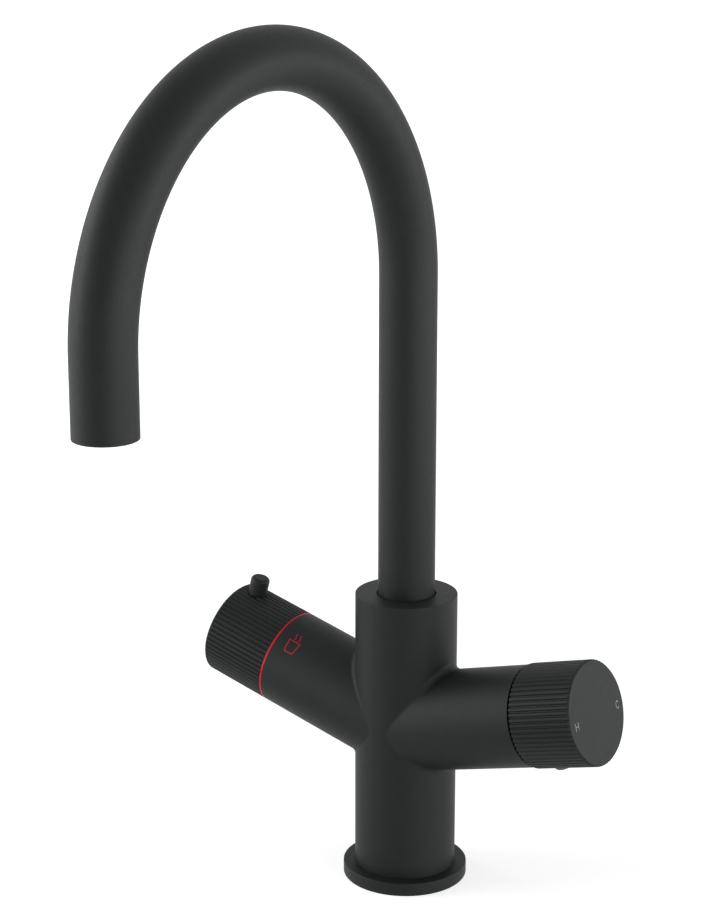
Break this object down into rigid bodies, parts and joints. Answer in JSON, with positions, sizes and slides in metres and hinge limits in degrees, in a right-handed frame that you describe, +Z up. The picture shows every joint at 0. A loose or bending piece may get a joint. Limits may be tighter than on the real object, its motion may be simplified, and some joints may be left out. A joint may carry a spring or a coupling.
{
  "type": "boiling water tap",
  "caption": "Swan-neck kitchen tap on a round column, with a knurled mixer knob on one raised arm and a knurled boiling water knob with a safety button on the other.",
  "frame": {"origin": "centre of the underside of the base flange, where the column's axis meets the worktop", "axes": "+Z up along the column and the spout's riser, -Y towards the outlet and the user, +X towards the mixer knob and -X towards the boiling water knob"},
  "size_m": [0.2035, 0.2355, 0.3839],
  "materials": {
    "black_coating": "smooth matte black coating",
    "red_trim": "satin red",
    "brass_parts": "machined",
    "steel_parts": "machined",
    "seals": "matte",
    "white_parts": "moulded",
    "grey_parts": "moulded",
    "black_parts": "moulded",
    "discs": "lapped ceramic",
    "hose": "clear silicone"
  },
  "bodies": {
    "root": {"body_casting": "black_coating", "base_flange": "black_coating", "base_gasket": "seals", "flange_screw_left": "steel_parts", "flange_screw_right": "steel_parts", "inlet_block": "brass_parts", "inlet_block_o_ring": "seals", "spout_slide_ring_upper": "black_parts", "spout_stop_screw": "steel_parts", "spout_thrust_washer": "white_parts", "mixer_cartridge_seal": "seals", "mixer_cartridge_body": "brass_parts", "mixer_fixed_disc": "discs", "mixer_retaining_nut": "brass_parts", "boiling_cartridge_seal": "seals", "boiling_cartridge_body": "brass_parts", "boiling_fixed_disc": "discs", "boiling_retaining_nut": "brass_parts", "boiling_ring": "red_trim"},
    "mixer_handle": {"mixer_knob": "black_coating", "mixer_knob_carrier": "white_parts", "mixer_stem": "brass_parts", "mixer_stem_o_ring": "seals", "mixer_turning_disc": "discs", "mixer_grub_screw": "steel_parts", "mixer_screw_cover": "black_coating"},
    "boiling_handle": {"boiling_knob": "black_coating", "boiling_knob_carrier": "white_parts", "boiling_stem": "brass_parts", "boiling_stem_o_ring": "seals", "boiling_turning_disc": "discs", "boiling_grub_screw": "steel_parts", "button_spring": "steel_parts"},
    "button": {"safety_button": "black_coating"},
    "spout": {"spout_tube": "black_coating", "spout_foot": "brass_parts", "spout_slide_ring_lower": "white_parts", "spout_o_ring_lower": "seals", "spout_o_ring_upper": "seals", "spout_nipple_o_ring": "seals", "boiling_hose": "hose", "aerator_housing": "grey_parts", "aerator_insert": "grey_parts", "aerator_o_ring": "seals", "boiling_nozzle": "steel_parts"}
  },
  "joints": [
    {"name": "spout_swivel", "type": "hinge", "parent": "root", "child": "spout", "pos_m": [0, 0, 0.105], "axis": [0, 0, 1], "range_deg": [-90, 90]},
    {"name": "mixer_turn", "type": "hinge", "parent": "root", "child": "mixer_handle", "pos_m": [0, 0, 0.0719], "axis": [0.9659, 0, 0.2588], "range_deg": [-90, 90]},
    {"name": "boiling_turn", "type": "hinge", "parent": "root", "child": "boiling_handle", "pos_m": [0, 0, 0.0719], "axis": [0.9659, 0, -0.2588], "range_deg": [0, 90]},
    {"name": "button_press", "type": "slide", "parent": "boiling_handle", "child": "button", "axis": [-0.2588, 0, -0.9659], "range_m": [0, 0.003], "stiffness_N_per_m": 500, "springref_m": -0.003, "deforming": ["button_spring"]}
  ]
}
